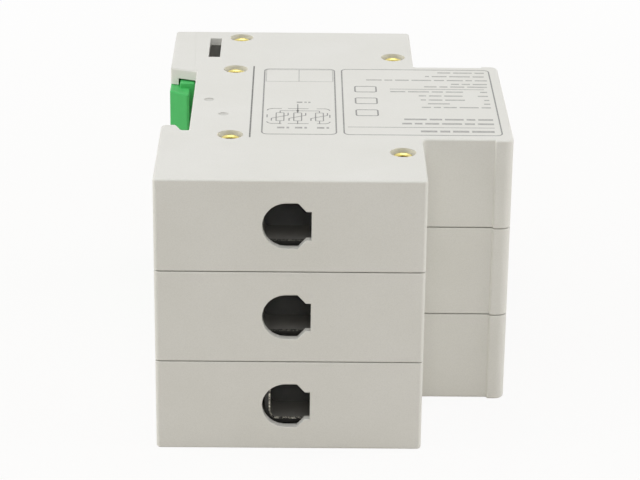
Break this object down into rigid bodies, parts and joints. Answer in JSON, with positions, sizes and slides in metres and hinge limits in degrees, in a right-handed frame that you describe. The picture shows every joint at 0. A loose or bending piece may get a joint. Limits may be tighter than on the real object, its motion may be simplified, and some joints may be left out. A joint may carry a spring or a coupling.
{
  "type": "din rail surge arrester",
  "caption": "Multi-pole surge arrester for a top-hat rail: riveted narrow pole cases with a stepped nose, sliding rail clips, cage terminals at both ends and a trip flag behind each window.",
  "frame": {"origin": "centre of the footprint, on the surface that the device lies on", "axes": "+X from the rail side to the nose, +Y from the line end to the earth end, +Z across the poles"},
  "size_m": [0.0668, 0.094, 0.0538],
  "materials": {
    "case_plastic": "fine-textured light grey moulding",
    "clip_plastic": "green moulding",
    "flag_plastic": "moulded flag, one half pale green, one half red",
    "clamp_steel": "blackened folded sheet, rubbed bright at the mouth",
    "screw_steel": "zinc-plated",
    "spring_steel": "bright wire",
    "copper_strip": "stamped copper strip",
    "copper_braid": "flat woven copper lead",
    "link_bar": "tinned copper bar",
    "varistor_coating": "blue epoxy coat",
    "window_pane": "clear moulded pane",
    "rivet_brass": "rolled brass"
  },
  "bodies": {
    "housing": {"earth_link_bar": "link_bar", "rivets": "rivet_brass", "case_1": "case_plastic", "cover_1": "case_plastic", "line_contact_1": "copper_strip", "earth_strap_1": "copper_strip", "varistor_1": "varistor_coating", "hot_electrode_1": "copper_strip", "trip_spring_1": "spring_steel", "braid_1": "copper_braid", "window_1": "window_pane", "case_2": "case_plastic", "cover_2": "case_plastic", "line_contact_2": "copper_strip", "earth_strap_2": "copper_strip", "varistor_2": "varistor_coating", "hot_electrode_2": "copper_strip", "trip_spring_2": "spring_steel", "braid_2": "copper_braid", "window_2": "window_pane", "case_3": "case_plastic", "cover_3": "case_plastic", "line_contact_3": "copper_strip", "earth_strap_3": "copper_strip", "varistor_3": "varistor_coating", "hot_electrode_3": "copper_strip", "trip_spring_3": "spring_steel", "braid_3": "copper_braid", "window_3": "window_pane"},
    "clip_1": {"rail_clip_1": "clip_plastic"},
    "line_screw_body_1": {"line_screw_1": "screw_steel"},
    "line_clamp_body_1": {"line_clamp_1": "clamp_steel"},
    "earth_screw_body_1": {"earth_screw_1": "screw_steel"},
    "earth_clamp_body_1": {"earth_clamp_1": "clamp_steel"},
    "trip_1": {"trip_slider_1": "flag_plastic", "trip_contact_1": "copper_strip"},
    "clip_2": {"rail_clip_2": "clip_plastic"},
    "line_screw_body_2": {"line_screw_2": "screw_steel"},
    "line_clamp_body_2": {"line_clamp_2": "clamp_steel"},
    "earth_screw_body_2": {"earth_screw_2": "screw_steel"},
    "earth_clamp_body_2": {"earth_clamp_2": "clamp_steel"},
    "trip_2": {"trip_slider_2": "flag_plastic", "trip_contact_2": "copper_strip"},
    "clip_3": {"rail_clip_3": "clip_plastic"},
    "line_screw_body_3": {"line_screw_3": "screw_steel"},
    "line_clamp_body_3": {"line_clamp_3": "clamp_steel"},
    "earth_screw_body_3": {"earth_screw_3": "screw_steel"},
    "earth_clamp_body_3": {"earth_clamp_3": "clamp_steel"},
    "trip_3": {"trip_slider_3": "flag_plastic", "trip_contact_3": "copper_strip"}
  },
  "joints": [
    {"name": "clip_1_slide", "type": "slide", "parent": "housing", "child": "clip_1", "axis": [0, 1, 0], "range_m": [0, 0.005]},
    {"name": "line_screw_1_turn", "type": "hinge", "parent": "housing", "child": "line_screw_body_1", "pos_m": [0.0098, -0.0408, 0.0089], "axis": [-1, 0, 0], "range_deg": [-586, 2116]},
    {"name": "line_clamp_1_rise", "type": "slide", "parent": "housing", "child": "line_clamp_body_1", "axis": [1, 0, 0], "range_m": [-0.0013, 0.0047]},
    {"name": "earth_screw_1_turn", "type": "hinge", "parent": "housing", "child": "earth_screw_body_1", "pos_m": [0.0098, 0.0368, 0.0089], "axis": [-1, 0, 0], "range_deg": [-1, 2701]},
    {"name": "earth_clamp_1_rise", "type": "slide", "parent": "housing", "child": "earth_clamp_body_1", "axis": [1, 0, 0], "range_m": [0, 0.006]},
    {"name": "trip_1_slide", "type": "slide", "parent": "housing", "child": "trip_1", "axis": [0, 1, 0], "range_m": [0, 0.008], "deforming": ["trip_spring_1", "braid_1"]},
    {"name": "clip_2_slide", "type": "slide", "parent": "housing", "child": "clip_2", "axis": [0, 1, 0], "range_m": [0, 0.005]},
    {"name": "line_screw_2_turn", "type": "hinge", "parent": "housing", "child": "line_screw_body_2", "pos_m": [0.0098, -0.0408, 0.0269], "axis": [-1, 0, 0], "range_deg": [-1, 2701]},
    {"name": "line_clamp_2_rise", "type": "slide", "parent": "housing", "child": "line_clamp_body_2", "axis": [1, 0, 0], "range_m": [0, 0.006]},
    {"name": "earth_screw_2_turn", "type": "hinge", "parent": "housing", "child": "earth_screw_body_2", "pos_m": [0.0098, 0.0368, 0.0269], "axis": [-1, 0, 0], "range_deg": [-1, 2701]},
    {"name": "earth_clamp_2_rise", "type": "slide", "parent": "housing", "child": "earth_clamp_body_2", "axis": [1, 0, 0], "range_m": [0, 0.006]},
    {"name": "trip_2_slide", "type": "slide", "parent": "housing", "child": "trip_2", "axis": [0, 1, 0], "range_m": [0, 0.008], "deforming": ["trip_spring_2", "braid_2"]},
    {"name": "clip_3_slide", "type": "slide", "parent": "housing", "child": "clip_3", "axis": [0, 1, 0], "range_m": [0, 0.005]},
    {"name": "line_screw_3_turn", "type": "hinge", "parent": "housing", "child": "line_screw_body_3", "pos_m": [0.0098, -0.0408, 0.0449], "axis": [-1, 0, 0], "range_deg": [-1, 2701]},
    {"name": "line_clamp_3_rise", "type": "slide", "parent": "housing", "child": "line_clamp_body_3", "axis": [1, 0, 0], "range_m": [0, 0.006]},
    {"name": "earth_screw_3_turn", "type": "hinge", "parent": "housing", "child": "earth_screw_body_3", "pos_m": [0.0098, 0.0368, 0.0449], "axis": [-1, 0, 0], "range_deg": [-1, 2701]},
    {"name": "earth_clamp_3_rise", "type": "slide", "parent": "housing", "child": "earth_clamp_body_3", "axis": [1, 0, 0], "range_m": [0, 0.006]},
    {"name": "trip_3_slide", "type": "slide", "parent": "housing", "child": "trip_3", "axis": [0, 1, 0], "range_m": [0, 0.008], "deforming": ["trip_spring_3", "braid_3"]}
  ],
  "couplings": [
    {"joint": "line_screw_1_turn", "follows": "line_clamp_1_rise", "rad_per_m": 7854},
    {"joint": "earth_screw_1_turn", "follows": "earth_clamp_1_rise", "rad_per_m": 7854},
    {"joint": "line_screw_2_turn", "follows": "line_clamp_2_rise", "rad_per_m": 7854},
    {"joint": "earth_screw_2_turn", "follows": "earth_clamp_2_rise", "rad_per_m": 7854},
    {"joint": "line_screw_3_turn", "follows": "line_clamp_3_rise", "rad_per_m": 7854},
    {"joint": "earth_screw_3_turn", "follows": "earth_clamp_3_rise", "rad_per_m": 7854}
  ]
}
